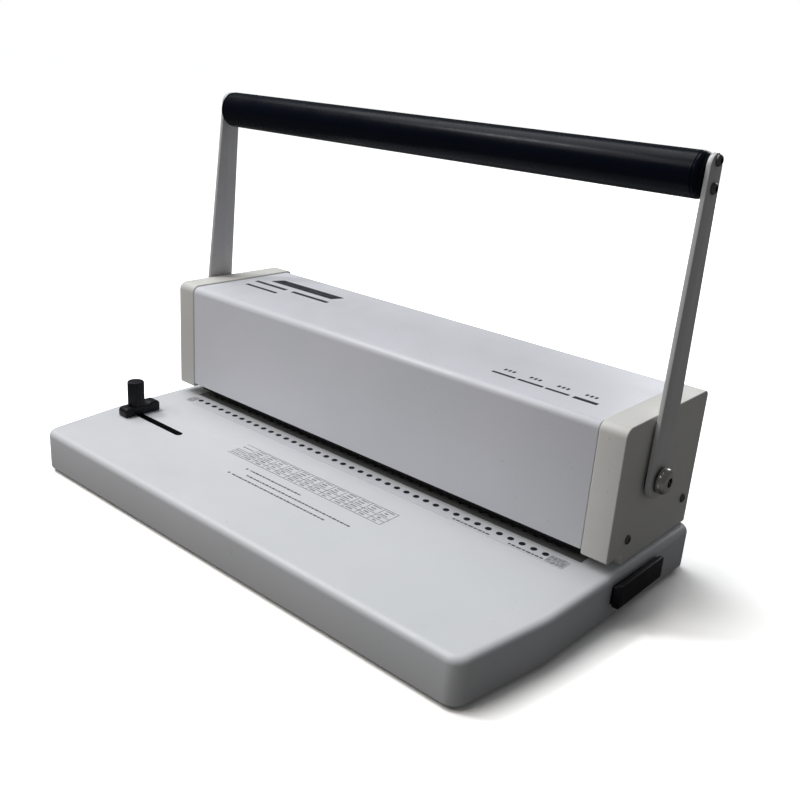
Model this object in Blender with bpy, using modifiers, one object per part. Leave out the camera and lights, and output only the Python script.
"""Manual desktop punch-and-bind machine, modelled as separate pieces.

Units are metres, +Z is up, the paper goes in from -Y and the origin is on the
table under the middle of the machine.  Left is -X and right is +X.
"""
import math

import bmesh
import bpy
from mathutils import Euler, Matrix

# ---------------------------------------------------------------- driving sizes
GAP = 0.0003                    # air kept between touching pieces

FOOT_HEIGHT = 0.003
FOOT_RADIUS = 0.009

BASE_DEPTH = 0.2305
BASE_HEIGHT = 0.0284            # height of the moulded base alone
BASE_WALL = 0.003
BASE_HALF_FRONT = 0.1917        # half width at the front edge
BASE_HALF_BEND = 0.2019         # half width where the sides stop flaring
BASE_HALF_REAR = 0.2062         # half width at the back
BASE_BEND_BACK = 0.067          # from the front edge to that bend
BASE_TOP_ROUND = 0.0045

BODY_SETBACK = 0.1265           # from the base's front edge to the body's front
BODY_HEIGHT = 0.0906            # from the base's top to the cover's top
BODY_ROUND = 0.005
COVER_HALF = 0.1819
COVER_SHEET = 0.0015
COVER_LIFT = 0.0108             # gap under the cover's front edge
CAP_INNER = 0.1823
CAP_OUTER = 0.1998
CAP_PROUD = 0.0010              # how far the end caps stand above the cover
CAP_WALL = 0.0025
CAP_ROUND = 0.006
CAP_REAR_ROUND = 0.004
NOTCH_HEIGHT = 0.0076           # paper gap left under the end caps
NOTCH_DEPTH = 0.018

HOLE_COUNT = 40
HOLE_PITCH = 0.0254 / 3         # three holes to the inch
HOLE_ROW_CENTRE = -0.0030
PIN_RADIUS = 0.00195
PIN_SIDES = 8
DIE_HOLE_RADIUS = 0.00235
PIN_SETBACK = 0.0125            # from the body's front to the row of pins
PAPER_MARGIN = 0.005            # from the pins' centres to the paper's edge
DIE_THICKNESS = 0.006
DIE_DEPTH = 0.030
DIE_HALF = 0.1812
THROAT_HEIGHT = 0.0066
STRIPPER_THICKNESS = 0.005
STRIPPER_HALF = 0.1764

PUNCH_STROKE = 0.012
HANDLE_SWING = math.radians(85)
SHAFT_SETBACK = 0.0402          # from the body's front to the shaft
SHAFT_LIFT = 0.0514             # from the base's top to the shaft
SHAFT_RADIUS = 0.007
CAM_RADIUS = 0.019
CAM_THROW = PUNCH_STROKE / (2 * math.sin(HANDLE_SWING / 2))
CAM_X = 0.150                   # middle of each cam along the shaft
CAM_THICKNESS = 0.008

ARM_THICKNESS = 0.0028
ARM_OUTER = 0.2048              # outer face of an arm at the pivot
ARM_SPLAY = math.atan(0.022)    # the arms lean in towards the grip
ARM_LEAN = math.atan(0.058)     # the handle leans back at rest
ARM_RADIUS_LOW = 0.0124
ARM_RADIUS_TOP = 0.0076
ARM_TOP_REACH = 0.1778          # pivot to the centre of the arm's top end
GRIP_REACH = 0.1730             # pivot to the grip's axis
GRIP_RADIUS = 0.0129
GRIP_WALL = 0.0014
GRIP_HALF = 0.1973              # half the grip's length, end plugs included
PLUG_RIM = 0.0045               # how far a plug stands out of the grip tube
PLUG_ROUND = 0.0042
GRIP_SCREW_REACHES = (0.1668, 0.1815)       # pivot to the two screws in each arm

GUIDE_X = -0.1774
GUIDE_TRAVEL = 0.0525
GUIDE_SETBACK = -0.0584         # knob axis, from the body's front
GUIDE_HEIGHT = 0.008
GUIDE_STEP = 0.0012             # how far its front part lies below its back
GUIDE_KNOB_RADIUS = 0.00625
GUIDE_SLOT_WIDTH = 0.0060
GUIDE_STUD_RADIUS = 0.0019

TRAY_FRONT = 0.005              # tray edges, from the body's front
TRAY_REAR = 0.052
TRAY_BOTTOM = 0.0100            # above the base's underside
TRAY_TOP = 0.0215
TRAY_LEFT = -0.188
TRAY_WALL = 0.0016
TRAY_PULL_OUT = 0.0062          # how far its front stands out of the base

# ---------------------------------------------------------------- derived places
BASE_FRONT = -BASE_DEPTH / 2
BASE_REAR = BASE_DEPTH / 2
BODY_Y = BASE_FRONT + BODY_SETBACK          # front plane of the body
BASE_Z = FOOT_HEIGHT                        # underside of the base
TOP_Z = BASE_Z + BASE_HEIGHT                # top of the base
COVER_Z = TOP_Z + BODY_HEIGHT               # top of the cover
SHAFT_Y = BODY_Y + SHAFT_SETBACK
SHAFT_Z = TOP_Z + SHAFT_LIFT
PIN_Y = BODY_Y + PIN_SETBACK
DIE_Y = BODY_Y + 0.0045                     # front edge of die and stripper
THROAT_TOP = TOP_Z + THROAT_HEIGHT
STRIPPER_TOP = THROAT_TOP + STRIPPER_THICKNESS
FRAME_INNER = 0.1772
FRAME_OUTER = 0.1802


def make_collection(name):
    collection = bpy.data.collections.new(name)
    bpy.context.scene.collection.children.link(collection)
    return collection


def start_scene():
    for old in list(bpy.data.objects):
        bpy.data.objects.remove(old, do_unlink=True)
    return make_collection("punch_binding_machine"), make_collection("cutters")


PARTS, CUTTERS = start_scene()


# ---------------------------------------------------------------- materials
def make_material(name, colour, roughness, metallic=0.0):
    material = bpy.data.materials.new(name)
    material.use_nodes = True
    shader = material.node_tree.nodes["Principled BSDF"]
    shader.inputs["Base Color"].default_value = (*colour, 1.0)
    shader.inputs["Roughness"].default_value = roughness
    shader.inputs["Metallic"].default_value = metallic
    return material


BASE_PLASTIC = make_material("base_plastic", (0.74, 0.75, 0.78), 0.45)
COVER_PAINT = make_material("cover_paint", (0.72, 0.73, 0.77), 0.40)
CAP_PLASTIC = make_material("cap_plastic", (0.76, 0.74, 0.70), 0.50)
ARM_PAINT = make_material("arm_paint", (0.62, 0.62, 0.62), 0.45)
GRIP_BLACK = make_material("grip_black", (0.010, 0.013, 0.022), 0.25)
BLACK_PLASTIC = make_material("black_plastic", (0.020, 0.020, 0.022), 0.45)
RUBBER = make_material("rubber", (0.030, 0.030, 0.030), 0.85)
DARK_STEEL = make_material("dark_steel", (0.10, 0.10, 0.11), 0.40, 1.0)
BRIGHT_STEEL = make_material("bright_steel", (0.55, 0.55, 0.56), 0.30, 1.0)
SHEET_STEEL = make_material("sheet_steel", (0.45, 0.46, 0.47), 0.45, 1.0)
BRONZE = make_material("bronze", (0.55, 0.38, 0.20), 0.40, 1.0)
LABEL = make_material("label_film", (0.68, 0.68, 0.70), 0.50)


# ---------------------------------------------------------------- shape helpers
def add_object(name, mesh, material, place=(0, 0, 0), turn=(0, 0, 0)):
    thing = bpy.data.objects.new(name, mesh)
    if material is None:
        CUTTERS.objects.link(thing)
        thing.hide_render = True
        thing.display_type = "WIRE"
    else:
        PARTS.objects.link(thing)
        mesh.materials.clear()
        mesh.materials.append(material)
    thing.location = place
    thing.rotation_euler = turn
    return thing


def smooth(thing, angle=35):
    thing.data.shade_smooth()
    thing.data.set_sharp_from_angle(angle=math.radians(angle))
    return thing


def box(name, low, high, material=None):
    """A box between two corners."""
    shape = bmesh.new()
    bmesh.ops.create_cube(shape, size=1.0)
    size = [b - a for a, b in zip(low, high)]
    bmesh.ops.scale(shape, vec=size, verts=shape.verts)
    mesh = bpy.data.meshes.new(name)
    shape.to_mesh(mesh)
    shape.free()
    middle = [(a + b) / 2 for a, b in zip(low, high)]
    return add_object(name, mesh, material, middle)


AXIS_TURN = {"X": (0, math.pi / 2, 0), "Y": (-math.pi / 2, 0, 0), "Z": (0, 0, 0)}


def cylinder(name, radius, start, length, axis="Z", material=None, sides=24, tip=None):
    """A cylinder from start along +axis; a tip radius makes it a cone."""
    shape = bmesh.new()
    bmesh.ops.create_cone(shape, cap_ends=True, segments=sides, radius1=radius,
                          radius2=radius if tip is None else tip, depth=length)
    bmesh.ops.translate(shape, vec=(0, 0, length / 2), verts=shape.verts)
    mesh = bpy.data.meshes.new(name)
    shape.to_mesh(mesh)
    shape.free()
    return smooth(add_object(name, mesh, material, start, AXIS_TURN[axis]))


def turned(name, profile, place, axis="Z", material=None, sides=24):
    """A turned piece; profile holds (radius, height) down the outside and back up."""
    mesh = bpy.data.meshes.new(name)
    shape = bmesh.new()
    corners = [shape.verts.new((radius, 0, height)) for radius, height in profile]
    for first, second in zip(corners, corners[1:] + corners[:1]):
        if first.co.x > 0 or second.co.x > 0:
            shape.edges.new((first, second))
    shape.to_mesh(mesh)
    shape.free()
    thing = add_object(name, mesh, material, place, AXIS_TURN[axis])
    screw = thing.modifiers.new("turn", "SCREW")
    screw.steps = screw.render_steps = sides
    screw.use_merge_vertices = True
    screw.merge_threshold = 0.00001
    screw.use_smooth_shade = False
    return thing


def ring(name, outer, inner, start, length, axis="X", material=None, sides=24):
    """A plain washer or tube from start along +axis."""
    profile = [(outer, length), (outer, 0), (inner, 0), (inner, length)]
    return turned(name, profile, start, axis, material, sides)


def rounded(corners):
    """An outline from (u, v, radius, steps) corners, each turned into an arc."""
    points = []
    count = len(corners)
    for index, (u, v, radius, steps) in enumerate(corners):
        if radius == 0:
            points.append((u, v))
            continue
        before = corners[index - 1]
        after = corners[(index + 1) % count]
        to_before = math.atan2(before[1] - v, before[0] - u)
        to_after = math.atan2(after[1] - v, after[0] - u)
        inside = (to_after - to_before + math.pi) % (2 * math.pi) - math.pi
        half = abs(inside) / 2
        reach = radius / math.sin(half)
        middle = to_before + inside / 2
        centre = (u + reach * math.cos(middle), v + reach * math.sin(middle))
        sweep = math.pi - abs(inside)
        sign = 1 if inside < 0 else -1
        start = middle + math.pi - sign * sweep / 2
        for step in range(steps + 1):
            angle = start + sign * sweep * step / steps
            points.append((centre[0] + radius * math.cos(angle),
                           centre[1] + radius * math.sin(angle)))
    return points


SIDEWAYS = (math.pi / 2, 0, math.pi / 2)    # outline (u, v) becomes (Y, Z)


def plate(name, outline, thickness, place, turn=(0, 0, 0), material=None):
    """A flat outline given a thickness, centred on its own plane."""
    curve = bpy.data.curves.new(name, "CURVE")
    curve.dimensions = "2D"
    curve.fill_mode = "BOTH"
    curve.extrude = thickness / 2
    spline = curve.splines.new("POLY")
    spline.points.add(len(outline) - 1)
    for point, (u, v) in zip(spline.points, outline):
        point.co = (u, v, 0, 1)
    spline.use_cyclic_u = True
    draft = bpy.data.objects.new(name + "_outline", curve)
    CUTTERS.objects.link(draft)
    depsgraph = bpy.context.evaluated_depsgraph_get()
    mesh = bpy.data.meshes.new_from_object(draft.evaluated_get(depsgraph))
    bpy.data.objects.remove(draft, do_unlink=True)
    shape = bmesh.new()
    shape.from_mesh(mesh)
    bmesh.ops.remove_doubles(shape, verts=shape.verts, dist=0.000001)
    bmesh.ops.dissolve_limit(shape, angle_limit=0.001, verts=shape.verts, edges=shape.edges)
    bmesh.ops.recalc_face_normals(shape, faces=shape.faces)
    shape.to_mesh(mesh)
    shape.free()
    mesh.name = name
    return add_object(name, mesh, material, place, turn)


def boolean(thing, other, operation):
    step = thing.modifiers.new(operation.lower(), "BOOLEAN")
    step.operation = operation
    step.solver = "EXACT"
    step.object = other


def cut(thing, *tools):
    for tool in tools:
        boolean(thing, tool, "DIFFERENCE")
    return thing


def join(thing, *others):
    for other in others:
        boolean(thing, other, "UNION")
    return thing


def round_rim(thing, width, segments, side):
    """Round the edges of one flat end of a plate; side is +1 or -1 along its normal."""
    shape = bmesh.new()
    shape.from_mesh(thing.data)
    limit = side * max(side * vert.co.z for vert in shape.verts)
    rim = [edge for edge in shape.edges
           if all(abs(vert.co.z - limit) < 1e-6 for vert in edge.verts)
           and len(edge.link_faces) == 2
           and edge.calc_face_angle() > 1.0]
    bmesh.ops.bevel(shape, geom=rim, offset=width, segments=segments, profile=0.5,
                    affect="EDGES", clamp_overlap=True)
    bmesh.ops.remove_doubles(shape, verts=shape.verts, dist=0.000001)
    shape.to_mesh(thing.data)
    shape.free()
    return thing


def hole_row(name, radius, low, high):
    """One mesh with a cylinder at every hole of the row."""
    shape = bmesh.new()
    for index in range(HOLE_COUNT):
        made = bmesh.ops.create_cone(shape, cap_ends=True, segments=PIN_SIDES, radius1=radius,
                                     radius2=radius, depth=high - low)
        bmesh.ops.translate(shape, vec=(hole_x(index), PIN_Y, (low + high) / 2),
                            verts=made["verts"])
    mesh = bpy.data.meshes.new(name)
    shape.to_mesh(mesh)
    shape.free()
    return add_object(name, mesh, None)


def hole_x(index):
    return HOLE_ROW_CENTRE + (index - (HOLE_COUNT - 1) / 2) * HOLE_PITCH


# ---------------------------------------------------------------- base
def base_outline(inset):
    """Plan of the base, narrower towards the front, shrunk by inset."""
    front = BASE_FRONT + inset
    rear = BASE_REAR - inset
    bend = BASE_FRONT + BASE_BEND_BACK
    half = [(BASE_HALF_FRONT - inset, front, 0.010 - inset, 5),
            (BASE_HALF_BEND - inset, bend, 0.090, 4),
            (BASE_HALF_REAR - inset, rear, 0.009 - inset, 4)]
    left = [(-u, v, radius, steps) for u, v, radius, steps in reversed(half)]
    return rounded(half + left)


BASE_SCREWS = [(-0.150, BASE_FRONT + 0.020), (0.150, BASE_FRONT + 0.020),
               (-0.160, BASE_REAR - 0.018), (0.160, BASE_REAR - 0.018)]
SLOT_MIDDLE = GUIDE_X + GUIDE_TRAVEL / 2
SLOT_HALF = GUIDE_TRAVEL / 2 + GUIDE_SLOT_WIDTH / 2 + 0.0006
TRAY_FLOOR = BASE_Z + TRAY_BOTTOM
TRAY_RIM = BASE_Z + TRAY_TOP
TRAY_Y = (BODY_Y + TRAY_FRONT, BODY_Y + TRAY_REAR)
RAIL_TOP = TRAY_FLOOR - GAP


def build_base():
    middle = (0, 0, BASE_Z + BASE_HEIGHT / 2)
    shell = plate("base_shell", base_outline(0), BASE_HEIGHT, middle, material=BASE_PLASTIC)
    round_rim(shell, BASE_TOP_ROUND, 3, 1)
    inside = plate("base_inside", base_outline(BASE_WALL), BASE_HEIGHT,
                   (0, 0, middle[2] - BASE_WALL))
    die_bay = box("die_bay", (-DIE_HALF - 0.0005, DIE_Y - 0.0005, TOP_Z - 0.01),
                  (DIE_HALF + 0.0005, DIE_Y + DIE_DEPTH + 0.0005, TOP_Z + 0.01))
    ends = GUIDE_SLOT_WIDTH / 2
    slot = [(-SLOT_HALF, -ends, ends * 0.98, 5), (SLOT_HALF, -ends, ends * 0.98, 5),
            (SLOT_HALF, ends, ends * 0.98, 5), (-SLOT_HALF, ends, ends * 0.98, 5)]
    slot_tool = plate("guide_slot", rounded(slot), 0.02,
                      (SLOT_MIDDLE, BODY_Y + GUIDE_SETBACK, TOP_Z))
    doorway = box("tray_doorway", (0.190, TRAY_Y[0] - 0.0008, TRAY_FLOOR - 0.0006),
                  (0.215, TRAY_Y[1] + 0.0008, TRAY_RIM + 0.0006))
    cut(shell, inside, die_bay, slot_tool, doorway)
    for index, (x, y) in enumerate(BASE_SCREWS):
        boss = cylinder(f"base_boss_{index}", 0.005, (x, y, BASE_Z + 0.0024),
                        BASE_HEIGHT - 0.0034, sides=16)
        join(shell, boss)
    for index, (x, y) in enumerate(BASE_SCREWS):
        cut(shell, cylinder(f"boss_hole_{index}", 0.0019, (x, y, BASE_Z + 0.001), 0.015, sides=12))

    floor = plate("bottom_plate", base_outline(BASE_WALL + 0.0005), 0.0015,
                  (0, 0, BASE_Z + 0.0009), material=SHEET_STEEL)
    for index, (x, y) in enumerate(BASE_SCREWS):
        cut(floor, cylinder(f"floor_hole_{index}", 0.002, (x, y, 0), 0.02, sides=12))
        screw = cylinder(f"base_screw_{index + 1}", 0.003, (x, y, BASE_Z - 0.0015), 0.0014,
                         material=DARK_STEEL, sides=16)
        join(screw, cylinder(f"base_screw_shank_{index}", 0.0015, (x, y, BASE_Z - 0.0007), 0.011,
                             sides=12))

    corners = {"front_left": (-0.168, BASE_FRONT + 0.022), "front_right": (0.168, BASE_FRONT + 0.022),
               "rear_left": (-0.182, BASE_REAR - 0.022), "rear_right": (0.182, BASE_REAR - 0.022)}
    for corner, (x, y) in corners.items():
        cylinder(f"foot_{corner}", FOOT_RADIUS - 0.001, (x, y, 0), FOOT_HEIGHT - GAP / 2,
                 material=RUBBER, sides=20, tip=FOOT_RADIUS)

    for name, y in (("front", TRAY_Y[0] + 0.004), ("rear", TRAY_Y[1] - 0.008)):
        box(f"tray_rail_{name}", (-0.186, y, BASE_Z + 0.0009 + 0.00075 + GAP),
            (0.186, y + 0.004, RAIL_TOP), SHEET_STEEL)


# ---------------------------------------------------------------- die and frame
def build_punch_frame():
    die = box("die_plate", (-DIE_HALF, DIE_Y, TOP_Z - DIE_THICKNESS),
              (DIE_HALF, DIE_Y + DIE_DEPTH, TOP_Z), SHEET_STEEL)
    cut(die, hole_row("die_holes", DIE_HOLE_RADIUS, TOP_Z - 0.02, TOP_Z + 0.01))

    stripper = box("stripper_plate", (-STRIPPER_HALF, DIE_Y, THROAT_TOP),
                   (STRIPPER_HALF, DIE_Y + DIE_DEPTH, STRIPPER_TOP), DARK_STEEL)
    cut(stripper, hole_row("stripper_holes", DIE_HOLE_RADIUS, THROAT_TOP - 0.01,
                           STRIPPER_TOP + 0.01))

    stop_y = PIN_Y + PAPER_MARGIN
    box("back_stop", (-0.170, stop_y, TOP_Z + GAP), (0.170, stop_y + 0.004, THROAT_TOP - GAP),
        DARK_STEEL)

    # Side plates: a step at the front clears the paper, a flange at the back takes the rear cover.
    low = TOP_Z + GAP
    high = COVER_Z - 0.004
    notch_y = stop_y + 0.0005
    rear = BODY_Y + 0.1001
    outline = [(notch_y, low), (rear, low), (rear, high), (DIE_Y + 0.003, high),
               (DIE_Y + 0.003, THROAT_TOP + 0.0005), (notch_y, THROAT_TOP + 0.0005)]
    for side, name in ((-1, "left"), (1, "right")):
        middle = side * (FRAME_INNER + FRAME_OUTER) / 2
        frame = plate(f"side_frame_{name}", outline, FRAME_OUTER - FRAME_INNER, (middle, 0, 0),
                      SIDEWAYS, SHEET_STEEL)
        inner = sorted((side * 0.164, side * (FRAME_INNER + 0.001)))
        flange = box(f"frame_flange_{name}", (inner[0], rear - 0.002, low), (inner[1], rear, high))
        join(frame, flange)
        cut(frame, cylinder(f"bush_seat_{name}", 0.0104, (side * 0.179 - 0.01, SHAFT_Y, SHAFT_Z),
                            0.02, "X"))
        for level in REAR_SCREW_LEVELS:
            cut(frame, cylinder(f"flange_hole_{name}_{level:.3f}", 0.0020,
                                (side * REAR_SCREW_X, rear - 0.01, level), 0.02, "Y", sides=12))
        for index, (y, z) in enumerate(CAP_SCREWS):
            cut(frame, cylinder(f"frame_cap_hole_{name}_{index}", 0.0020,
                                (side * 0.179 - 0.01, y, z), 0.02, "X", sides=12))
        build_bush(name, side)


REAR_SCREW_X = 0.170
REAR_SCREW_LEVELS = (TOP_Z + 0.014, COVER_Z - 0.022)
CAP_SCREWS = ((BODY_Y + 0.0215, TOP_Z + 0.0165), (BODY_Y + 0.0925, TOP_Z + 0.0205))


def build_bush(name, side):
    bore = SHAFT_RADIUS + 0.00035
    flange = (0.0125, 0.0028)
    profile = [(0.010, 0.0070), (0.010, flange[1]), (flange[0], flange[1]), (flange[0], 0),
               (bore, 0), (bore, 0.0070)]
    place = (side * (FRAME_INNER - flange[1] - GAP), SHAFT_Y, SHAFT_Z)
    bush = turned(f"shaft_bush_{name}", profile, place, "X", BRONZE)
    if side < 0:
        bush.rotation_euler = (0, -math.pi / 2, 0)


# ---------------------------------------------------------------- punch carrier
CAM_Y_REST = SHAFT_Y - CAM_THROW * math.cos(HANDLE_SWING / 2)
CAM_Z_REST = SHAFT_Z + CAM_THROW * math.sin(HANDLE_SWING / 2)
CAM_Y_MIDDLE = SHAFT_Y - CAM_THROW
WINDOW_HALF_HEIGHT = CAM_RADIUS + 0.0006
WINDOW = (CAM_Y_MIDDLE - CAM_RADIUS - 0.0005, CAM_Y_REST + CAM_RADIUS + 0.0005)
YOKE_WALL = 0.006
YOKE_LOW = CAM_Z_REST - WINDOW_HALF_HEIGHT - YOKE_WALL
YOKE_HIGH = CAM_Z_REST + WINDOW_HALF_HEIGHT + YOKE_WALL
BAR_FRONT = PIN_Y - 0.006
BAR_REAR = PIN_Y + 0.006
BAR_HIGH = YOKE_LOW + 0.014
PIN_TIP = THROAT_TOP + 0.002
POST_X = 0.118
POST_Y = PIN_Y + 0.013
POST_RADIUS = 0.004


def build_carrier():
    carrier = box("punch_carrier", (-0.172, BAR_FRONT, YOKE_LOW), (0.172, BAR_REAR, BAR_HIGH),
                  BRIGHT_STEEL)
    for side, name in ((-1, "left"), (1, "right")):
        x = side * CAM_X
        yoke = box(f"yoke_{name}", (x - CAM_THICKNESS / 2, BAR_FRONT, YOKE_LOW),
                   (x + CAM_THICKNESS / 2, WINDOW[1] + YOKE_WALL, YOKE_HIGH))
        ear_x = side * POST_X
        ear = box(f"guide_ear_{name}", (ear_x - 0.008, BAR_REAR - 0.002, YOKE_LOW),
                  (ear_x + 0.008, POST_Y + 0.007, BAR_HIGH - 0.002))
        join(carrier, yoke, ear)
        window = box(f"yoke_window_{name}", (x - CAM_THICKNESS, WINDOW[0],
                                             CAM_Z_REST - WINDOW_HALF_HEIGHT),
                     (x + CAM_THICKNESS, WINDOW[1], CAM_Z_REST + WINDOW_HALF_HEIGHT))
        post_hole = cylinder(f"post_hole_{name}", POST_RADIUS + 0.0004, (ear_x, POST_Y, YOKE_LOW - 0.01),
                             0.05, sides=16)
        cut(carrier, window, post_hole)
    join(carrier, hole_row("punch_pins", PIN_RADIUS, PIN_TIP, YOKE_LOW + 0.003))

    for side, name in ((-1, "left"), (1, "right")):
        place = (side * POST_X, POST_Y, STRIPPER_TOP + GAP)
        cylinder(f"guide_post_{name}", POST_RADIUS, place, 0.050, material=BRIGHT_STEEL, sides=16)
        build_spring(name, side)


def build_spring(name, side):
    """Return spring around a guide post, between the stripper plate and the carrier."""
    wire = 0.0007
    radius = 0.0058
    turns = 5
    steps = 8
    low = STRIPPER_TOP + GAP + wire
    high = YOKE_LOW - GAP - wire
    curve = bpy.data.curves.new(f"spring_wire_{name}", "CURVE")
    curve.dimensions = "3D"
    curve.bevel_depth = wire
    curve.bevel_resolution = 2
    curve.use_fill_caps = True
    curve.render_resolution_u = 0
    spline = curve.splines.new("POLY")
    count = turns * steps + 1
    spline.points.add(count - 1)
    for index, point in enumerate(spline.points):
        angle = 2 * math.pi * index / steps
        height = low + (high - low) * index / (count - 1)
        point.co = (radius * math.cos(angle), radius * math.sin(angle), height, 1)
    spring = bpy.data.objects.new(f"return_spring_{name}", curve)
    spring.location = (side * POST_X, POST_Y, 0)
    curve.materials.append(BRIGHT_STEEL)
    PARTS.objects.link(spring)


# ---------------------------------------------------------------- covers
def build_covers():
    front_low = TOP_Z + COVER_LIFT
    depth = 0.1025
    lip = 0.012
    sheet = COVER_SHEET
    inner_round = BODY_ROUND - sheet
    profile = [(0, front_low, 0, 1), (sheet, front_low, 0, 1),
               (sheet, COVER_Z - sheet, inner_round, 4),
               (depth - sheet, COVER_Z - sheet, inner_round, 4),
               (depth - sheet, COVER_Z - lip, 0, 1), (depth, COVER_Z - lip, 0, 1),
               (depth, COVER_Z, BODY_ROUND, 5), (0, COVER_Z, BODY_ROUND, 5)]
    plate("body_cover", rounded(profile), 2 * COVER_HALF, (0, BODY_Y, 0), SIDEWAYS, COVER_PAINT)

    rear_y = BODY_Y + 0.1005
    rear = box("rear_cover", (-COVER_HALF, rear_y, TOP_Z + 0.0008),
               (COVER_HALF, rear_y + COVER_SHEET, COVER_Z - lip - 0.0005), COVER_PAINT)
    number = 1
    for x in (-REAR_SCREW_X, REAR_SCREW_X):
        for level in REAR_SCREW_LEVELS:
            cut(rear, cylinder(f"rear_cover_hole_{number}", 0.0020, (x, rear_y - 0.01, level), 0.02,
                               "Y", sides=12))
            screw_y = rear_y + COVER_SHEET + GAP
            build_screw(f"rear_screw_{number}", (x, screw_y, level), "Y", 1, 0.0032, 0.0015, 0.0015,
                        0.0075)
            number += 1


def build_screw(name, under_head, axis, facing, head_radius, head_height, shank_radius, length):
    """A pan-head screw whose head faces +axis or -axis from the point under its head."""
    turn = AXIS_TURN[axis]
    profile = [(0, head_height), (head_radius * 0.75, head_height),
               (head_radius, head_height * 0.45), (head_radius, 0), (shank_radius, 0),
               (shank_radius, -length), (0, -length)]
    screw = turned(name, profile, under_head, axis, DARK_STEEL, 16)
    if facing < 0:
        screw.rotation_euler = [-angle for angle in turn]
    return screw


def build_caps():
    """Hollow end caps with a notch at the front bottom corner where wide paper runs out."""
    low = TOP_Z + GAP
    high = COVER_Z + CAP_PROUD
    notch_z = TOP_Z + NOTCH_HEIGHT
    front = BODY_Y - 0.0004
    back = BASE_REAR - 0.0002
    step_y = BODY_Y + NOTCH_DEPTH

    def cap_outline(inset):
        corner = CAP_ROUND - inset
        rear_corner = CAP_REAR_ROUND - inset
        floor, roof = low - 2 * inset, high - inset
        return rounded([(step_y + inset, floor, 0, 1), (back - inset, floor, 0, 1),
                        (back - inset, roof, rear_corner, 4), (front + inset, roof, corner, 4),
                        (front + inset, notch_z + inset, 0.0015, 2),
                        (step_y + inset, notch_z + inset, 0, 1)])

    width = CAP_OUTER - CAP_INNER
    for side, name in ((-1, "left"), (1, "right")):
        middle = side * (CAP_OUTER + CAP_INNER) / 2
        cap = plate(f"end_cap_{name}", cap_outline(0), width, (middle, 0, 0), SIDEWAYS, CAP_PLASTIC)
        round_rim(cap, 0.0035, 3, side)
        hollow = plate(f"cap_hollow_{name}", cap_outline(CAP_WALL), width,
                       (middle - side * CAP_WALL, 0, 0), SIDEWAYS)
        cut(cap, hollow)
        cut(cap, cylinder(f"cap_shaft_hole_{name}", 0.009, (side * 0.192 - 0.015, SHAFT_Y, SHAFT_Z),
                          0.03, "X"))
        for index, (y, z) in enumerate(CAP_SCREWS):
            cut(cap, cylinder(f"cap_screw_hole_{name}_{index}", 0.0020, (side * 0.192 - 0.015, y, z),
                              0.03, "X", sides=12))
            build_screw(f"cap_screw_{name}_{index + 1}", (side * (CAP_OUTER + GAP), y, z), "X", side,
                        0.0030, 0.0012, 0.0015, 0.0215)


# ---------------------------------------------------------------- handle
def arm_turn(side):
    """Turn of a flat piece lying in the plane of one arm."""
    lean = Matrix.Rotation(-ARM_LEAN, 3, "X")
    splay = Matrix.Rotation(-side * ARM_SPLAY, 3, "Y")
    return (splay @ lean @ Euler(SIDEWAYS).to_matrix()).to_euler()


def arm_point(side, reach, outward=0.0):
    """A point on an arm's centre line: reach up from the pivot, outward from its outer face."""
    rise = reach * math.cos(ARM_LEAN)
    return (side * (ARM_OUTER - rise * math.tan(ARM_SPLAY) + outward),
            SHAFT_Y + reach * math.sin(ARM_LEAN), SHAFT_Z + rise)


def arm_outline():
    """A strip that narrows from the pivot end to the grip end, both ends round."""
    slope = math.asin((ARM_RADIUS_LOW - ARM_RADIUS_TOP) / ARM_TOP_REACH)
    points = []
    for radius, centre, start, sweep in (
            (ARM_RADIUS_LOW, 0.0, math.pi - slope, math.pi + 2 * slope),
            (ARM_RADIUS_TOP, ARM_TOP_REACH, slope, math.pi - 2 * slope)):
        for step in range(11):
            angle = start + sweep * step / 10
            points.append((radius * math.cos(angle), centre + radius * math.sin(angle)))
    return points


SHAFT_REACH = CAP_OUTER + 0.0015        # where the round shaft ends and its square ends begin
SQUARE = 0.0045
BOLT_RADIUS = 0.0030
PIVOT_FACE = ARM_OUTER + 0.0005         # washers clear the leaning arms
WASHER_THICKNESS = 0.0008
BOLT_HEAD_RADIUS = 0.0082
BOLT_HEAD_HEIGHT = 0.0052


def build_shaft():
    shaft = cylinder("cross_shaft", SHAFT_RADIUS, (-SHAFT_REACH, SHAFT_Y, SHAFT_Z), 2 * SHAFT_REACH,
                     "X", BRIGHT_STEEL, 24)
    tenon = box("shaft_tenon", (-ARM_OUTER + 0.0004, SHAFT_Y - SQUARE, SHAFT_Z - SQUARE),
                (ARM_OUTER - 0.0004, SHAFT_Y + SQUARE, SHAFT_Z + SQUARE))
    join(shaft, tenon)
    pieces = [shaft]
    for side, name in ((-1, "left"), (1, "right")):
        cut(shaft, cylinder(f"shaft_bore_{name}", BOLT_RADIUS + 0.0003,
                            (side * 0.200 - 0.016, SHAFT_Y, SHAFT_Z), 0.032, "X", sides=16))
        cam = cylinder(f"cam_{name}", CAM_RADIUS,
                       (side * CAM_X - CAM_THICKNESS / 2, CAM_Y_REST, CAM_Z_REST),
                       CAM_THICKNESS, "X", DARK_STEEL, 40)
        cut(cam, cylinder(f"cam_bore_{name}", SHAFT_RADIUS + 0.0002,
                          (side * CAM_X - 0.01, SHAFT_Y, SHAFT_Z), 0.02, "X"))
        pieces.append(cam)
        pieces += [build_arm(name, side), build_washer(name, side), build_bolt(name, side)]
    return pieces


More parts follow.
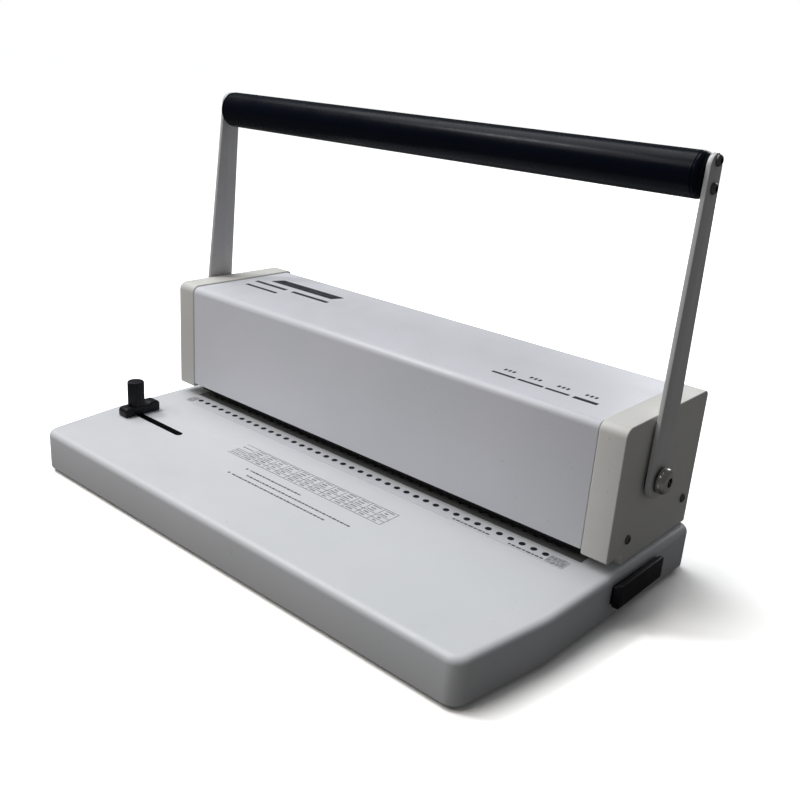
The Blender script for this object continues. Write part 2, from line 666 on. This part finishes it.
def build_arm(name, side):
    middle = arm_point(side, 0.0, -ARM_THICKNESS / 2)
    arm = plate(f"arm_{name}", arm_outline(), ARM_THICKNESS, middle, arm_turn(side),
                ARM_PAINT)
    square = SQUARE + 0.0004
    cut(arm, box(f"arm_square_{name}", (side * 0.205 - 0.01, SHAFT_Y - square, SHAFT_Z - square),
                 (side * 0.205 + 0.01, SHAFT_Y + square, SHAFT_Z + square)))
    for index, reach in enumerate(GRIP_SCREW_REACHES):
        x, y, z = arm_point(side, reach)
        cut(arm, cylinder(f"arm_screw_hole_{name}_{index}", 0.0020, (x - 0.01, y, z), 0.02, "X",
                          sides=12))
    return arm


def build_washer(name, side):
    start = PIVOT_FACE if side > 0 else -PIVOT_FACE - WASHER_THICKNESS
    return ring(f"pivot_washer_{name}", BOLT_HEAD_RADIUS - 0.0003, BOLT_RADIUS + 0.0004,
                (start, SHAFT_Y, SHAFT_Z), WASHER_THICKNESS, "X", DARK_STEEL, 24)


def build_bolt(name, side):
    """Domed socket-head bolt threaded into the end of the shaft."""
    head = BOLT_HEAD_HEIGHT
    rim = BOLT_HEAD_RADIUS
    under = PIVOT_FACE + WASHER_THICKNESS + 0.0002
    profile = [(0, head * 0.45), (0.0028, head * 0.45), (0.0030, head), (rim * 0.75, head * 0.93),
               (rim * 0.95, head * 0.62), (rim, head * 0.25), (rim, 0), (BOLT_RADIUS, 0),
               (BOLT_RADIUS, -0.020), (0, -0.020)]
    bolt = turned(f"pivot_bolt_{name}", profile, (side * under, SHAFT_Y, SHAFT_Z), "X",
                  BRIGHT_STEEL, 24)
    if side < 0:
        bolt.rotation_euler = (0, -math.pi / 2, 0)
    return bolt


def build_grip():
    grip_y, grip_z = arm_point(1, GRIP_REACH)[1:]
    tube_half = GRIP_HALF - PLUG_RIM
    grip = ring("grip_tube", GRIP_RADIUS, GRIP_RADIUS - GRIP_WALL, (-tube_half, grip_y, grip_z),
                2 * tube_half, "X", GRIP_BLACK, 32)
    pieces = [grip]
    inner = GRIP_RADIUS - GRIP_WALL - GAP
    rim = PLUG_RIM - GAP
    shoulder = [(GRIP_RADIUS - PLUG_ROUND * (1 - math.sin(angle)), rim - PLUG_ROUND * (1 - math.cos(angle)))
                for angle in (math.pi / 8 * step for step in range(5))]
    profile = [(0, rim)] + shoulder + [(GRIP_RADIUS, 0), (inner, 0), (inner, -0.018), (0, -0.018)]
    for side, name in ((-1, "left"), (1, "right")):
        plug = turned(f"end_plug_{name}", profile, (side * (tube_half + GAP), grip_y, grip_z), "X",
                      BLACK_PLASTIC, 32)
        if side < 0:
            plug.rotation_euler = (0, -math.pi / 2, 0)
        pieces.append(plug)
        for index, reach in enumerate(GRIP_SCREW_REACHES):
            x, y, z = arm_point(side, reach, 0.00035)
            cut(plug, cylinder(f"plug_bore_{name}_{index}", 0.0019, (side * 0.192 - 0.010, y, z),
                               0.020, "X", sides=12))
            pieces.append(build_screw(f"arm_screw_{name}_{index + 1}", (x, y, z), "X", side,
                                      0.0033, 0.0020, 0.0015, 0.0125))
    return pieces


# ---------------------------------------------------------------- edge guide
def build_guide():
    axis_y = BODY_Y + GUIDE_SETBACK
    low = TOP_Z + GAP
    front, rear = axis_y - 0.0126, axis_y + 0.0179
    high = low + GUIDE_HEIGHT
    step = high - GUIDE_STEP
    # Seen from the side: rounded at the front, with a slightly higher round back.
    outline = rounded([(front, low, 0, 1), (rear, low, 0, 1), (rear, high, 0.0030, 3),
                       (rear - 0.0075, high, 0.0020, 2), (rear - 0.0095, step, 0.0010, 2),
                       (front, step, 0.0028, 3)])
    block = plate("guide_block", outline, 0.0098, (GUIDE_X, 0, 0), SIDEWAYS, BLACK_PLASTIC)
    bore = cylinder("guide_bore", GUIDE_STUD_RADIUS + 0.0004, (GUIDE_X, axis_y, low - 0.01), 0.03,
                    sides=16)
    cut(block, bore)

    nut_high = TOP_Z - BASE_WALL - GAP
    nut = cylinder("guide_nut", 0.0055, (GUIDE_X, axis_y, nut_high - 0.004), 0.004,
                   material=BRIGHT_STEEL, sides=6)
    cut(nut, cylinder("guide_nut_bore", GUIDE_STUD_RADIUS + 0.0004,
                      (GUIDE_X, axis_y, nut_high - 0.01), 0.02, sides=16))

    knob_low = step + GAP
    knob_top = TOP_Z + 0.0264
    knob = plate("guide_knob", fluted_outline(), knob_top - knob_low,
                 (GUIDE_X, axis_y, (knob_low + knob_top) / 2), material=BLACK_PLASTIC)
    round_rim(knob, 0.0009, 1, 1)
    join(knob, cylinder("knob_stud", GUIDE_STUD_RADIUS, (GUIDE_X, axis_y, nut_high - 0.006),
                        knob_low - nut_high + 0.008, sides=16))
    return [block, nut], [knob], (GUIDE_X, axis_y, low)


def fluted_outline():
    """Round outline with shallow flutes, for a finger knob."""
    flutes = 14
    points = []
    for index in range(flutes * 4):
        angle = 2 * math.pi * index / (flutes * 4)
        radius = GUIDE_KNOB_RADIUS if index % 4 < 2 else GUIDE_KNOB_RADIUS - 0.0005
        points.append((radius * math.cos(angle), radius * math.sin(angle)))
    return points


# ---------------------------------------------------------------- chip tray
def build_tray():
    wall_x = BASE_HALF_REAR - 0.0008
    tray = box("chip_tray", (TRAY_LEFT, TRAY_Y[0], TRAY_FLOOR), (wall_x - 0.004, TRAY_Y[1], TRAY_RIM),
               BLACK_PLASTIC)
    hollow = box("tray_hollow", (TRAY_LEFT + TRAY_WALL, TRAY_Y[0] + TRAY_WALL, TRAY_FLOOR + TRAY_WALL),
                 (0.1985, TRAY_Y[1] - TRAY_WALL, TRAY_RIM + 0.01))
    cut(tray, hollow)
    # Handle outside the base: a block with a raised finger ridge along its outer top edge.
    outer = wall_x + TRAY_PULL_OUT - 0.0008
    low, high = BASE_Z + 0.0100, BASE_Z + 0.0235
    outline = [(wall_x, low), (outer - 0.0016, low), (outer, low + 0.0022), (outer, high + 0.0008),
               (outer - 0.0012, high + 0.0018), (outer - 0.0028, high + 0.0012),
               (outer - 0.0034, high), (wall_x, high)]
    length = TRAY_Y[1] - TRAY_Y[0] + 0.005
    handle = plate("tray_handle", outline, length, (0, (TRAY_Y[0] + TRAY_Y[1]) / 2, 0),
                   (math.pi / 2, 0, 0))
    neck = box("tray_neck", (wall_x - 0.006, TRAY_Y[0], TRAY_FLOOR),
               (wall_x + 0.002, TRAY_Y[1], TRAY_RIM))
    join(tray, neck, handle)
    return [tray], (wall_x, (TRAY_Y[0] + TRAY_Y[1]) / 2, TRAY_FLOOR)


# ---------------------------------------------------------------- assembly
def hang(name, place, pieces):
    """Parent a moving group to an empty on its joint."""
    pivot = bpy.data.objects.new(name, None)
    pivot.location = place
    pivot.empty_display_size = 0.02
    PARTS.objects.link(pivot)
    bpy.context.view_layer.update()
    for piece in pieces:
        piece.parent = pivot
        piece.matrix_parent_inverse = pivot.matrix_world.inverted()


def build_label():
    box("label_strip", (-0.1790, BODY_Y - 0.0122, TOP_Z + 0.00005),
        (0.1780, BODY_Y - 0.0012, TOP_Z + 0.00035), LABEL)


def main():
    build_base()
    build_punch_frame()
    build_label()
    build_covers()
    build_caps()
    build_carrier()
    carrier = [bpy.data.objects["punch_carrier"]]
    hang("punch_slide", (0, PIN_Y, YOKE_LOW), carrier)
    hang("handle_pivot", (0, SHAFT_Y, SHAFT_Z), build_shaft() + build_grip())
    guide, knob, guide_place = build_guide()
    hang("guide_slide", guide_place, guide)
    hang("knob_pivot", guide_place, knob)
    tray, tray_place = build_tray()
    hang("tray_slide", tray_place, tray)


main()
